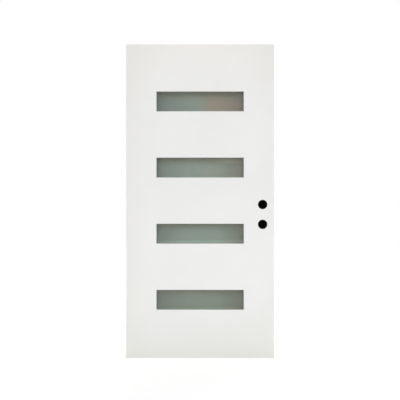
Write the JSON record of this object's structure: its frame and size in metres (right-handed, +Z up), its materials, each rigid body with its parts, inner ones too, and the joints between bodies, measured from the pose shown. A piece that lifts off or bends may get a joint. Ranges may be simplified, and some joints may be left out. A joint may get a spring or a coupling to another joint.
{
  "type": "entrance door leaf",
  "caption": "Flush white entrance door leaf with a ladder of horizontal frosted glass lites, bored for a handle set and a deadbolt, seated for hinges.",
  "frame": {"origin": "bottom end of the hinge edge, at mid thickness", "axes": "+X from the hinge edge to the lock edge, +Y from the exterior face to the interior face, +Z up"},
  "size_m": [0.9079, 0.0444, 1.919],
  "materials": {
    "skin": "satin white paint on smooth glass fibre",
    "timber": "planed laminated pine",
    "composite": "moulded wood fibre composite",
    "foam": "rigid polyurethane foam",
    "clear_glass": "clear float glass",
    "frosted_glass": "satin etched glass",
    "spacer": "mill finish",
    "sealant": "grey silicone glazing bead",
    "surround": "foamed plastic",
    "edge_sealant": "black polysulphide",
    "setting_block": "moulded neoprene"
  },
  "bodies": {
    "root": {"exterior_skin": "skin", "interior_skin": "skin", "hinge_stile": "timber", "lock_stile": "timber", "top_rail": "timber", "bottom_rail": "composite", "lock_block": "timber", "foam_core": "foam", "lite_1_outer_pane": "clear_glass", "lite_1_inner_pane": "frosted_glass", "lite_1_spacer": "spacer", "lite_1_outer_seal": "sealant", "lite_1_inner_seal": "sealant", "lite_1_surround": "surround", "lite_1_edge_seal": "edge_sealant", "lite_1_left_block": "setting_block", "lite_1_right_block": "setting_block", "lite_2_outer_pane": "clear_glass", "lite_2_inner_pane": "frosted_glass", "lite_2_spacer": "spacer", "lite_2_outer_seal": "sealant", "lite_2_inner_seal": "sealant", "lite_2_surround": "surround", "lite_2_edge_seal": "edge_sealant", "lite_2_left_block": "setting_block", "lite_2_right_block": "setting_block", "lite_3_outer_pane": "clear_glass", "lite_3_inner_pane": "frosted_glass", "lite_3_spacer": "spacer", "lite_3_outer_seal": "sealant", "lite_3_inner_seal": "sealant", "lite_3_surround": "surround", "lite_3_edge_seal": "edge_sealant", "lite_3_left_block": "setting_block", "lite_3_right_block": "setting_block", "lite_4_outer_pane": "clear_glass", "lite_4_inner_pane": "frosted_glass", "lite_4_spacer": "spacer", "lite_4_outer_seal": "sealant", "lite_4_inner_seal": "sealant", "lite_4_surround": "surround", "lite_4_edge_seal": "edge_sealant", "lite_4_left_block": "setting_block", "lite_4_right_block": "setting_block"}
  },
  "joints": []
}
